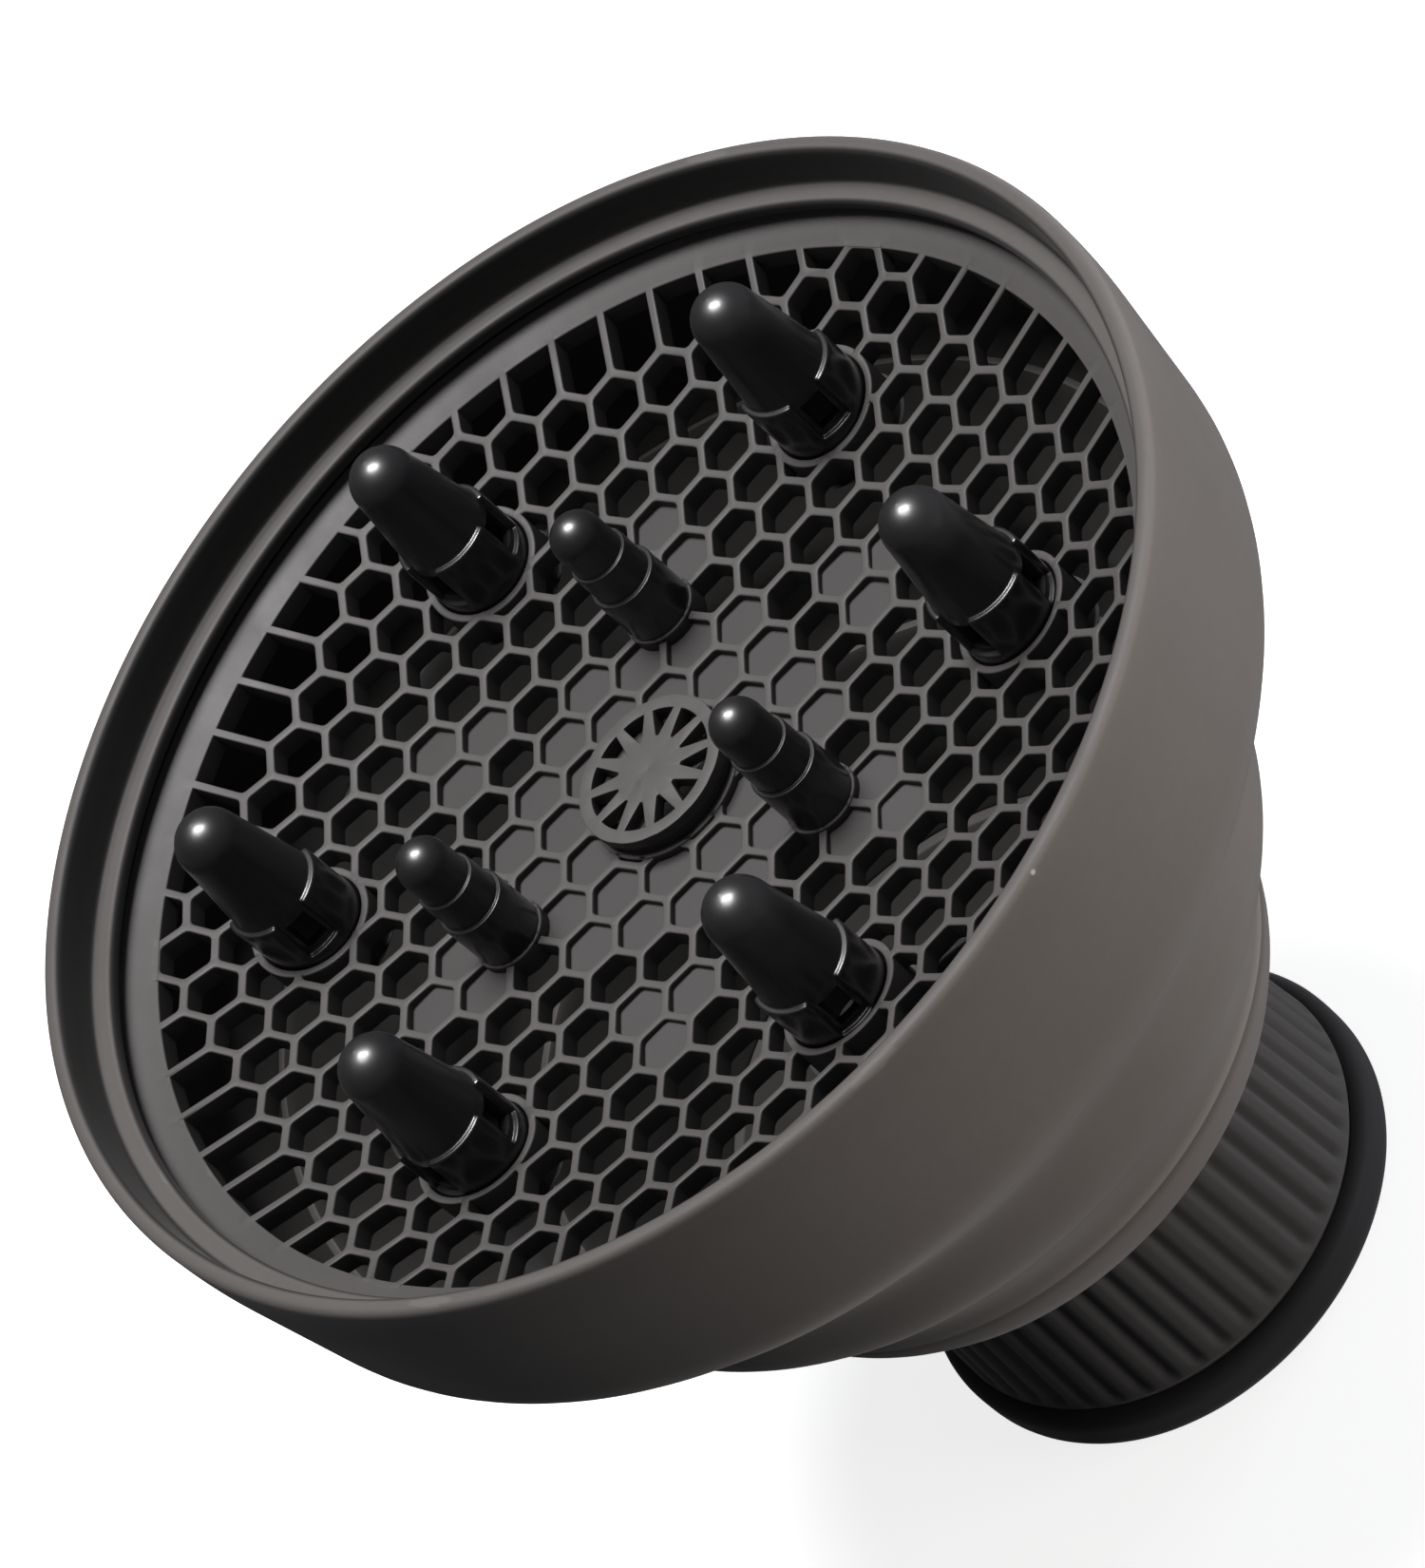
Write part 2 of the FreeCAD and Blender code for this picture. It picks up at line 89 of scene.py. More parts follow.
class DiffuserSizes(bpy.types.PropertyGroup):
    """Sizes of the diffuser that the frame's boxes don't give."""
    bowl_wall: size("Bowl wall", "Thickness of the bowl's silicone wall", 2.6)
    lip_wall: size("Lip wall", "Thickness of the wall at the lip", 2.3)
    ring_wall: size("Ring wall", "Thickness of the fold rings", 2.4)
    web: size("Web", "Thickness of the thin fold webs", 1.2)
    bead_reach: size("Bead reach", "How far the bead stands in over the grille", 3.2)
    bead: size("Bead", "Height of the bead over the grille", 1.9)
    bead_gap: size("Bead gap", "Groove between the grille and the bead", 1.0)
    neck_bore: size("Neck bore", "Radius of the bore that grips the barrel", 26.0)
    flute_depth: size("Flute depth", "Depth of the flutes of the neck", 0.75)
    pitch: size("Cell pitch", "Distance between honeycomb cell centres", 7.25)
    cell_wall: size("Cell wall", "Thickness of the walls between cells", 1.05)
    grille: size("Grille", "Thickness of the honeycomb grille", 2.8)
    blind_depth: size("Blind depth", "Depth of the cells that have a floor", 1.0)
    edge: size("Moulded edge", "Rounding of moulded plastic edges", 0.22)
    finger_wall: size("Finger wall", "Thickness of the hollow fingers", 1.4)
    finger_ledge: size("Finger ledge", "Height of the pads at a large finger's foot", 7.9)


class DiffuserColours(bpy.types.PropertyGroup):
    """Colours of the diffuser's finishes."""
    silicone: colour("Silicone", "Warm dark grey of the folding bowl", (0.118, 0.109, 0.104))
    neck: colour("Neck", "Darker silicone of the neck", (0.040, 0.039, 0.040))
    mouth: colour("Mouth", "Near-black silicone of the mouth ring", (0.016, 0.016, 0.018))
    grille: colour("Grille", "Grey plastic of the grille and its cap", (0.113, 0.105, 0.105))
    finger: colour("Finger", "Near-black plastic of the fingers", (0.014, 0.014, 0.0155))
    floor: colour("Floor", "Pale studio floor", (0.86, 0.86, 0.86))


# Mesh helpers

def smoothstep(low, high, value):
    t = min(max((value - low) / (high - low), 0.0), 1.0)
    return t * t * (3.0 - 2.0 * t)


def outline(corners, steps=5, closed=True):
    """Points through (r, z, reach) corners, each corner rounded off over its reach."""
    points = []
    count = len(corners)
    for i, (r, z, reach) in enumerate(corners):
        here = Vector((r, z))
        end_corner = not closed and i in (0, count - 1)
        if reach == 0.0 or end_corner:
            points.append(here)
            continue
        before = Vector(corners[i - 1][:2])
        after = Vector(corners[(i + 1) % count][:2])
        start = here + (before - here).normalized() * reach
        end = here + (after - here).normalized() * reach
        for k in range(steps + 1):
            t = k / steps
            points.append(start * (1 - t) ** 2 + here * 2 * t * (1 - t) + end * t ** 2)
    return points


def subdivided(points, longest):
    """The same closed outline with its long runs divided."""
    made = []
    for a, b in zip(points, points[1:] + points[:1]):
        pieces = max(1, math.ceil((b - a).length / longest))
        made.extend(a.lerp(b, k / pieces) for k in range(pieces))
    return made


def new_piece(name, vertices, faces, sharp_deg=38.0):
    mesh = bpy.data.meshes.new(name)
    mesh.from_pydata([tuple(v) for v in vertices], [], faces)
    body = bmesh.new()
    body.from_mesh(mesh)
    bmesh.ops.remove_doubles(body, verts=body.verts, dist=0.002 * MM)
    bmesh.ops.dissolve_degenerate(body, edges=body.edges, dist=0.001 * MM)
    bmesh.ops.recalc_face_normals(body, faces=body.faces)
    body.to_mesh(mesh)
    body.free()
    mesh.shade_smooth()
    mesh.set_sharp_from_angle(angle=math.radians(sharp_deg))
    piece = bpy.data.objects.new(name, mesh)
    bpy.context.scene.collection.objects.link(piece)
    return piece


def turned(name, points, around, radial=None):
    """Closed outline of (r, z) points turned about Z. radial(angle, r, z) may change the radius."""
    vertices, faces = [], []
    count = len(points)
    for a in range(around):
        angle = 2.0 * math.pi * a / around
        for r, z in points:
            reach = radial(angle, r, z) if radial else r
            vertices.append((reach * math.cos(angle), reach * math.sin(angle), z))
    for a in range(around):
        b = (a + 1) % around
        for i in range(count):
            j = (i + 1) % count
            faces.append((a * count + i, a * count + j, b * count + j, b * count + i))
    return new_piece(name, vertices, faces)


def hand_made(seed, amount):
    """Very slight out-of-round of soft silicone, as a change of radius."""
    def radial(angle, r, z):
        spot = Vector((math.cos(angle) * 1.6 + seed, math.sin(angle) * 1.6, z * 14.0))
        return r + amount * noise.noise(spot)
    return radial


# Material helpers

def new_material(name):
    material = bpy.data.materials.new(name)
    material.use_nodes = True
    tree = material.node_tree
    shader = tree.nodes["Principled BSDF"]
    return material, tree, shader


def add_node(tree, kind, inputs=None, **settings):
    made = tree.nodes.new(kind)
    for key, value in settings.items():
        setattr(made, key, value)
    for key, value in (inputs or {}).items():
        if isinstance(value, bpy.types.NodeSocket):
            tree.links.new(value, made.inputs[key])
        else:
            made.inputs[key].default_value = value
    return made


def noise_node(tree, where, scale, detail=3.0, roughness=0.5):
    return add_node(tree, "ShaderNodeTexNoise",
                    {"Vector": where, "Scale": scale, "Detail": detail, "Roughness": roughness})


def spread(tree, value, low, high, to_low, to_high):
    """value from low..high drawn out to to_low..to_high, clamped."""
    made = add_node(tree, "ShaderNodeMapRange",
                    {"Value": value, "From Min": low, "From Max": high, "To Min": to_low, "To Max": to_high})
    return made.outputs["Result"]


def mixed(tree, factor, a, b):
    made = add_node(tree, "ShaderNodeMix", data_type="RGBA")
    for index, value in ((0, factor), (6, a), (7, b)):
        if isinstance(value, bpy.types.NodeSocket):
            tree.links.new(value, made.inputs[index])
        else:
            made.inputs[index].default_value = value
    return made.outputs[2]


def shade(rgb, factor):
    return tuple(min(1.0, c * factor) for c in rgb) + (1.0,)


def facing_axis(tree):
    """Mask for painted shade on silicone: 1 on faces turned toward the airflow axis, 0 on faces turned away
    from it or upward.
    """
    coordinates = add_node(tree, "ShaderNodeTexCoord")
    flat = add_node(tree, "ShaderNodeVectorMath", {0: coordinates.outputs["Object"], 1: (1.0, 1.0, 0.0)},
                    operation="MULTIPLY")
    outward = add_node(tree, "ShaderNodeVectorMath", {0: flat.outputs[0]}, operation="NORMALIZE")
    turn = add_node(tree, "ShaderNodeVectorMath", {0: coordinates.outputs["Normal"], 1: outward.outputs[0]},
                    operation="DOT_PRODUCT")
    return spread(tree, turn.outputs["Value"], -0.2, -0.75, 0.0, 1.0)


def upright(tree):
    """Mask for painted shade on the grille and cap: 1 on upright and downward faces, 0 on faces turned up.
    """
    coordinates = add_node(tree, "ShaderNodeTexCoord")
    parts = add_node(tree, "ShaderNodeSeparateXYZ", {0: coordinates.outputs["Normal"]})
    return spread(tree, parts.outputs["Z"], 0.75, 0.15, 0.0, 0.75)


def moulded(name, rgb, grain_mm, grain_depth_mm, rough, mottle, edge_wear_and_highlight, dust, specular=0.5, painted_shade_mask=None):
    """A moulded surface: mottled colour, fine grain, worn edges with a painted highlight, painted shade in
    creases and a little dust.
    The painted shade mask gives which faces are darkened with painted shade for being inside the object."""
    material, tree, shader = new_material(name)
    where = add_node(tree, "ShaderNodeTexCoord").outputs["Object"]
    cloud = noise_node(tree, where, 26.0, 4.0, 0.6).outputs["Fac"]
    fine = noise_node(tree, where, 900.0, 2.0).outputs["Fac"]
    base = mixed(tree, spread(tree, cloud, 0.32, 0.68, 0.0, 1.0),
                 shade(rgb, 1.0 - mottle), shade(rgb, 1.0 + mottle))
    base = mixed(tree, spread(tree, fine, 0.35, 0.65, 0.0, 0.35), base, shade(rgb, 1.0 - 1.5 * mottle))
    geometry = add_node(tree, "ShaderNodeNewGeometry")
    # Painted highlight on top of edge wear: convex edges are lightened
    worn_and_highlit_edge = spread(tree, geometry.outputs["Pointiness"], 0.505, 0.56, 0.0, edge_wear_and_highlight)
    base = mixed(tree, worn_and_highlit_edge, base, shade(rgb, 1.9))
    # Painted shade: creases and concave corners are darkened to 0.45 of the colour
    hollow = spread(tree, geometry.outputs["Pointiness"], 0.497, 0.455, 0.0, 0.6)
    base = mixed(tree, hollow, base, shade(rgb, 0.45))
    specks = add_node(tree, "ShaderNodeTexVoronoi", {"Vector": where, "Scale": 150.0, "Randomness": 1.0})
    chosen = spread(tree, specks.outputs["Color"], 0.93, 0.94, 0.0, 1.0)
    dot = spread(tree, specks.outputs["Distance"], 0.035, 0.06, 1.0, 0.0)
    both = add_node(tree, "ShaderNodeMath", {0: chosen, 1: dot}, operation="MULTIPLY")
    strength = add_node(tree, "ShaderNodeMath", {0: both.outputs[0], 1: dust}, operation="MULTIPLY")
    base = mixed(tree, strength.outputs[0], base, (0.42, 0.41, 0.40, 1.0))
    # Painted shade: faces picked by the mask are darkened to 0.28 of the colour
    if painted_shade_mask:
        base = mixed(tree, painted_shade_mask(tree), base, shade(rgb, 0.28))
    tree.links.new(base, shader.inputs["Base Color"])
    smear = noise_node(tree, where, 60.0, 5.0, 0.65).outputs["Fac"]
    tree.links.new(spread(tree, smear, 0.3, 0.7, rough - 0.07, rough + 0.07), shader.inputs["Roughness"])
    shader.inputs["Specular IOR Level"].default_value = specular
    grain = noise_node(tree, where, 1.0 / (grain_mm * MM), 2.0).outputs["Fac"]
    waves = noise_node(tree, where, 95.0, 2.0).outputs["Fac"]
    bump_low = add_node(tree, "ShaderNodeBump", {"Height": waves, "Strength": 0.25, "Distance": 0.12 * MM})
    bump = add_node(tree, "ShaderNodeBump", {"Height": grain, "Strength": 0.6,
                                             "Distance": grain_depth_mm * MM,
                                             "Normal": bump_low.outputs["Normal"]})
    tree.links.new(bump.outputs["Normal"], shader.inputs["Normal"])
    return material


def silicone(name, rgb):
    material = moulded(name, rgb, grain_mm=0.35, grain_depth_mm=0.02, rough=0.62, mottle=0.07,
                       edge_wear_and_highlight=0.45, dust=1.0, specular=0.35, painted_shade_mask=facing_axis)
    shader = material.node_tree.nodes["Principled BSDF"]
    shader.inputs["Sheen Weight"].default_value = 0.12
    shader.inputs["Sheen Roughness"].default_value = 0.5
    return material


def grille_plastic(name, rgb):
    return moulded(name, rgb, grain_mm=0.22, grain_depth_mm=0.02, rough=0.55, mottle=0.06,
                   edge_wear_and_highlight=0.3, dust=0.5, specular=0.3, painted_shade_mask=upright)


def finger_plastic(name, rgb):
    material = moulded(name, rgb, grain_mm=0.3, grain_depth_mm=0.008, rough=0.42, mottle=0.05,
                       edge_wear_and_highlight=0.25, dust=0.6)
    shader = material.node_tree.nodes["Principled BSDF"]
    shader.inputs["Coat Weight"].default_value = 0.8
    shader.inputs["Coat Roughness"].default_value = 0.24
    return material


def finished(piece, material):
    piece.data.materials.clear()
    piece.data.materials.append(material)
    return piece


def shared_material(name, make, rgb):
    """The material of that name, made the first time it is asked for."""
    return bpy.data.materials.get(name) or make(name, rgb)


# The grille's face

SAG_2 = 0.731       # dish height over its middle is SAG_2 * r^2 + SAG_4 * r^4
SAG_4 = 181.0
BAND = 4.7 * MM     # plain band around the honeycomb
COLLAR_R = 7.7 * MM         # ring around a large finger's foot
SOCKET_R = 6.75 * MM        # hole that a large finger stands in
SMALL_BOSS_R = 4.7 * MM
SMALL_STUD_R = 2.0 * MM
CAP_BOSS_R = CAP_HIGH.x + 0.3 * MM
BOSS_RISE = 0.25 * MM
PLAY = 0.05 * MM
TIP_R = 0.02 * MM           # the small flat that closes a dome or a cap
TURN_IN = 7.8 * MM          # the bowl's bottom edge stands this far in from the lip


def grille_r():
    return GRILLE_HIGH.x


def dish(r):
    return SAG_2 * r ** 2 + SAG_4 * r ** 4


def face_height(r):
    """Height of the dished face: its rim is the top of the grille's box."""
    return GRILLE_HIGH.z - dish(grille_r()) + dish(r)


def middle(node):
    low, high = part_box(node)
    return (low + high) / 2.0


def small_seat(node):
    """Height of the boss that a small finger stands on."""
    return face_height(middle(node).xy.length + SMALL_BOSS_R) + BOSS_RISE


# Bowl, folds and neck

class DIFFUSER_OT_bowl(bpy.types.Operator):
    """Silicone bowl wall with its lip, the bead over the grille and a turned-in bottom edge"""
    bl_idname = "diffuser.bowl"
    bl_label = "Bowl wall"

    def execute(self, context):
        sizes = context.scene.diffuser_sizes
        lip_r, lip_z, low_z = BOWL_HIGH.x, BOWL_HIGH.z, BOWL_LOW.z
        wall = sizes.bowl_wall
        shoulder_r, shoulder_z = lip_r - 2.5 * MM, low_z + 6.9 * MM
        edge_r = lip_r - TURN_IN
        seat_z = GRILLE_HIGH.z - sizes.grille
        groove_r = grille_r() + 0.15 * MM
        bead_low = GRILLE_HIGH.z + sizes.bead_gap
        bead_in = lip_r - sizes.lip_wall - sizes.bead_reach
        points = outline([
            (lip_r, lip_z, 1.1 * MM),
            (lip_r, lip_z - 6.0 * MM, 3.0 * MM),
            (shoulder_r, shoulder_z, 3.2 * MM),
            (edge_r, low_z, 0.6 * MM),
            (edge_r - 2.1 * MM, low_z + 1.6 * MM, 0.5 * MM),
            (shoulder_r - wall, shoulder_z + 0.8 * MM, 2.5 * MM),
            (groove_r - 1.2 * MM, seat_z - 5.5 * MM, 1.5 * MM),
            (groove_r - 2.55 * MM, seat_z - 1.6 * MM, 0.5 * MM),
            (groove_r - 2.55 * MM, seat_z, 0.2 * MM),
            (groove_r, seat_z, 0.1 * MM),
            (groove_r, bead_low, 0.4 * MM),
            (bead_in, bead_low, 0.6 * MM),
            (bead_in, bead_low + sizes.bead, 0.8 * MM),
            (lip_r - sizes.lip_wall - 0.3 * MM, bead_low + sizes.bead, 0.7 * MM),
            (lip_r - sizes.lip_wall, lip_z, 0.9 * MM),
        ])
        piece = turned("bowl_skin", subdivided(points, 2.5 * MM), 288, hand_made(3.0, 0.14 * MM))
        finished(piece, shared_material("silicone_warm", silicone, context.scene.diffuser_colours.silicone))
        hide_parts("bowl_wall")
        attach(piece, "bowl")
        return {"FINISHED"}


def fold_skin(name, sizes, above, ring, seed):
    """One fold in a single skin: thin web from the edge above, ring wall, turned-in bottom edge.
    above is the (r, z) of the edge that the web hangs from; ring is (top r, top z, low z)."""
    top_r, top_z, low_z = ring
    wall, web = sizes.ring_wall, sizes.web
    hang_r, hang_z = above[0] - 1.2 * MM, above[1] + 1.5 * MM
    draft = (top_z - low_z) * 0.095
    shoulder_r, shoulder_z = top_r - draft, low_z + 5.1 * MM
    edge_r = shoulder_r - 3.5 * MM
    points = outline([
        (hang_r, hang_z, 0.4 * MM),
        (hang_r - 0.4 * MM, above[1] + 0.3 * MM, 0.5 * MM),
        (top_r + 0.2 * MM, top_z + 1.2 * MM, 3.6 * MM),
        (shoulder_r, shoulder_z, 3.4 * MM),
        (edge_r, low_z, 0.5 * MM),
        (edge_r - 1.9 * MM, low_z + 1.4 * MM, 0.5 * MM),
        (shoulder_r - wall, shoulder_z + 0.7 * MM, 1.5 * MM),
        (top_r - wall, top_z, 2.0 * MM),
        (hang_r - web - 1.2 * MM, above[1] + 1.2 * MM, 1.0 * MM),
        (hang_r - web - 0.4 * MM, hang_z + 0.4 * MM, 0.4 * MM),
    ], steps=6)
    return turned(name, subdivided(points, 1.6 * MM), 240, hand_made(seed, 0.1 * MM))


class DIFFUSER_OT_folds(bpy.types.Operator):
    """The two fold rings with the thin webs they hang from, and the web down to the neck"""
    bl_idname = "diffuser.folds"
    bl_label = "Folds"

    def execute(self, context):
        sizes = context.scene.diffuser_sizes
        material = shared_material("silicone_warm", silicone, context.scene.diffuser_colours.silicone)
        ring_1 = (RING_1_HIGH.x, RING_1_HIGH.z, RING_1_LOW.z)
        ring_2 = (RING_2_HIGH.x, RING_2_HIGH.z, RING_2_LOW.z)
        edge_1 = (BOWL_HIGH.x - TURN_IN, BOWL_LOW.z)
        edge_2 = (ring_1[0] - 4.9 * MM, ring_1[2])
        edge_3 = (ring_2[0] - 4.4 * MM, ring_2[2])
        upper = fold_skin("fold_upper", sizes, edge_1, ring_1, 5.0)
        lower = fold_skin("fold_lower", sizes, edge_2, ring_2, 3.0)
        neck_r, neck_z = sizes.neck_bore + 2.8 * MM, NECK_HIGH.z
        hang_r, hang_z = edge_3[0] - 1.2 * MM, edge_3[1] + 1.4 * MM
        points = outline([
            (hang_r, hang_z, 0.3 * MM),
            (hang_r - 0.4 * MM, edge_3[1] + 0.3 * MM, 0.5 * MM),
            (neck_r - 0.2 * MM, neck_z + 0.3 * MM, 0.4 * MM),
            (neck_r - 1.9 * MM, neck_z + 0.4 * MM, 0.3 * MM),
            (hang_r - 2.0 * MM, hang_z, 0.3 * MM),
        ])
        low_web = turned("fold_neck", subdivided(points, 1.2 * MM), 192, hand_made(7.0, 0.06 * MM))
        for piece in (upper, lower, low_web):
            finished(piece, material)
        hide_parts("fold_ring_upper", "fold_web_upper")
        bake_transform(upper)
        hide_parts("fold_ring_lower", "fold_web_middle")
        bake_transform(lower)
        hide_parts("fold_web_lower")
        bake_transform(low_web)
        return {"FINISHED"}


class DIFFUSER_OT_neck(bpy.types.Operator):
    """Fluted neck and the smooth ring at its mouth"""
    bl_idname = "diffuser.neck"
    bl_label = "Neck and mouth ring"

    flutes = 48

    def execute(self, context):
        sizes = context.scene.diffuser_sizes
        colours = context.scene.diffuser_colours
        bore, top_z = sizes.neck_bore, NECK_HIGH.z
        low_r, top_r, groove_r = NECK_HIGH.x, bore + 2.8 * MM, NECK_HIGH.x - 0.3 * MM
        groove_top = BEAD_HIGH.z + 0.9 * MM
        points = outline([
            (top_r, top_z, 0.8 * MM),
            (low_r, groove_top, 0.35 * MM),
            (groove_r - 0.3 * MM, groove_top - 0.35 * MM, 0.1 * MM),
            (groove_r - 0.3 * MM, 0.2 * MM, 0.1 * MM),
            (bore + 2.2 * MM, 0.0, 0.4 * MM),
            (bore, 2.6 * MM, 0.8 * MM),
            (bore, top_z, 0.5 * MM),
        ])
        depth = sizes.flute_depth
        flutes = self.flutes

        def fluted(angle, r, z):
            if r < bore + 1.8 * MM or z < groove_top:
                return r
            fade = smoothstep(groove_top + 0.3 * MM, groove_top + 1.8 * MM, z)
            fade *= 1.0 - smoothstep(top_z - 4.0 * MM, top_z - 2.0 * MM, z)
            wave = 0.5 + 0.5 * math.cos(angle * flutes)
            return r - depth * fade * wave ** 2.2

        neck = turned("neck_sleeve", subdivided(points, 0.9 * MM), self.flutes * 12, fluted)
        finished(neck, shared_material("silicone_neck", silicone, colours.neck))
        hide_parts("ribbed_neck")
        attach(neck, "neck")
        bead_r, bead_z = BEAD_HIGH.x, BEAD_HIGH.z
        points = outline([
            (groove_r - 0.2 * MM, bead_z, 0.2 * MM),
            (bead_r, bead_z, 1.7 * MM),
            (bead_r, 0.0, 2.3 * MM),
            (groove_r - 0.2 * MM, 0.0, 0.2 * MM),
        ], steps=8)
        ring = turned("mouth_bead", subdivided(points, 1.0 * MM), 240, hand_made(11.0, 0.08 * MM))
        finished(ring, shared_material("silicone_mouth", silicone, colours.mouth))
        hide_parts("mouth_ring")
        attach(ring, "neck")
        return {"FINISHED"}


# Grille

class Regions:
    """Flat map of the grille: which outline holds each little triangle, and at what height."""

    def __init__(self):
        self.outlines = []
        self.kinds = []

    def add(self, points, kind):
        self.outlines.append(points)
        self.kinds.append(kind)

    def circle(self, r, kind, x=0.0, y=0.0, around=96):
        turns = [2 * math.pi * k / around for k in range(around)]
        self.add([Vector((x + r * math.cos(t), y + r * math.sin(t))) for t in turns], kind)

    def triangulated(self):
        points, faces = [], []
        for loop in self.outlines:
            faces.append(list(range(len(points), len(points) + len(loop))))
            points.extend(loop)
        found = delaunay_2d_cdt(points, [], faces, 1, 1e-7, True)
        return found[0], found[2], found[5]


def cell_points(sizes, x, y, drawn_out_deg=None):
    """Honeycomb cell with softened corners; at the rim its outward half is drawn out straight."""
    half = (sizes.pitch - sizes.cell_wall) / 2.0
    corner = half / math.cos(math.radians(30))
    soft = 0.45 * MM
    if drawn_out_deg is None:
        turns = [math.radians(30 + 60 * k) for k in range(6)]
        spots = [(corner * math.cos(t), corner * math.sin(t), soft) for t in turns]
        turn = 0.0
    else:
        long_end = 2.5 * sizes.pitch
        spots = [(half, long_end, 0.0), (-half, long_end, 0.0), (-half, -corner / 2.0, soft),
                 (0.0, -corner, soft), (half, -corner / 2.0, soft)]
        turn = math.radians(drawn_out_deg - 90.0)
    local = outline(spots, steps=2)
    return [Vector((x + p.x * math.cos(turn) - p.y * math.sin(turn),
                    y + p.x * math.sin(turn) + p.y * math.cos(turn))) for p in local]


def area_of(a, b, c):
    return abs((b - a).cross(c - a)) / 2.0


class DIFFUSER_OT_grille(bpy.types.Operator):
    """Dished honeycomb grille with blind cells, drawn-out rim cells, finger sockets and bosses"""
    bl_idname = "diffuser.grille"
    bl_label = "Honeycomb grille"

    rounding_steps = 3
    smallest_cell = 0.12

    def blind(self, i, j, pitch):
        if max(abs(i), abs(j), abs(i + j)) <= 3:
            return True
        x, y = pitch * (i + 0.5 * j), pitch * j * math.sqrt(3.0) / 2.0
        off_axis = abs(math.degrees(math.atan2(y, x)) % 60.0 - 30.0)
        return 4.3 * pitch < math.hypot(x, y) < 5.25 * pitch and off_axis < 8.0

    def plan(self, sizes):
        plan = Regions()
        mesh_r = grille_r() - BAND
        pitch = sizes.pitch
        plan.circle(grille_r(), "plate", around=288)
        plan.circle(mesh_r, "mesh", around=288)
        for share in (0.15, 0.5, 0.85):
            plan.circle(mesh_r + share * BAND, "band", around=288)
        rings = math.floor(mesh_r / pitch) + 1
        for i in range(-rings, rings + 1):
            for j in range(-rings, rings + 1):
                ring = max(abs(i), abs(j), abs(i + j))
                x, y = pitch * (i + 0.5 * j), pitch * j * math.sqrt(3.0) / 2.0
                if ring > rings or math.hypot(x, y) - pitch / math.sqrt(3.0) > mesh_r:
                    continue
                kind = ("blind", math.hypot(x, y)) if self.blind(i, j, pitch) else ("open", 0.0)
                side = None
                if ring == rings:
                    side = 30.0 + 60.0 * math.floor(math.degrees(math.atan2(y, x)) / 60.0)
                plan.add(cell_points(sizes, x, y, side), kind)
        for name in LARGE_FINGERS:
            spot = middle(name)
            plan.circle(COLLAR_R, "collar", spot.x, spot.y)
            plan.circle(SOCKET_R, "bore", spot.x, spot.y)
        for name in SMALL_FINGERS:
            spot = middle(name)
            plan.circle(SMALL_BOSS_R, "small_boss", spot.x, spot.y, 72)
            plan.circle(SMALL_STUD_R + PLAY, "bore", spot.x, spot.y, 32)
        plan.circle(CAP_BOSS_R, "cap_boss")
        plan.circle(8.0 * MM, "bore")
        return plan

    def label(self, kinds):
        """What a triangle belongs to, from the outlines that hold it."""
        if "plate" not in kinds or "bore" in kinds:
            return None
        for seat in ("collar", "small_boss", "cap_boss"):
            if seat in kinds:
                return seat
        if "mesh" not in kinds:
            return "plate"
        for kind in kinds:
            if isinstance(kind, tuple):
                return kind if kind[0] == "blind" else None
        return "plate"

    def execute(self, context):
        sizes = context.scene.diffuser_sizes
        plan = self.plan(sizes)
        self.small_boss_top = small_seat(SMALL_FINGERS[0])
        points, triangles, holders = plan.triangulated()
        labels = [self.label([plan.kinds[k] for k in held]) for held in holders]
        holds_cell = [next((k for k in held if isinstance(plan.kinds[k], tuple)), None) for held in holders]
        self.fill_slivers(points, triangles, labels, holds_cell, sizes)
        vertices, faces = self.solid(points, triangles, labels, sizes)
        piece = new_piece("grille", vertices, faces)
        grey = shared_material("grille_grey", grille_plastic, context.scene.diffuser_colours.grille)
        finished(piece, grey)
        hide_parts("honeycomb_grille")
        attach(piece, "bowl")
        return {"FINISHED"}

    def fill_slivers(self, points, triangles, labels, holds_cell, sizes):
        """A clipped cell that has only a sliver left stays closed."""
        full = 6 * area_of(Vector((0, 0)), *cell_corner_pair(sizes))
        left = {}
        for t, triangle in enumerate(triangles):
            cell = holds_cell[t]
            if cell is not None and (labels[t] is None or isinstance(labels[t], tuple)):
                left.setdefault(cell, []).append(t)
        for members in left.values():
            if sum(area_of(*(points[v] for v in triangles[t])) for t in members) < self.smallest_cell * full:
                for t in members:
                    labels[t] = "plate"

    def top_height(self, label, r, sizes):
        if label == "cap_boss":
            return face_height(CAP_BOSS_R) + BOSS_RISE
        if label == "small_boss":
            return self.small_boss_top
        if isinstance(label, tuple):
            return face_height(label[1]) - sizes.blind_depth
        return face_height(r)

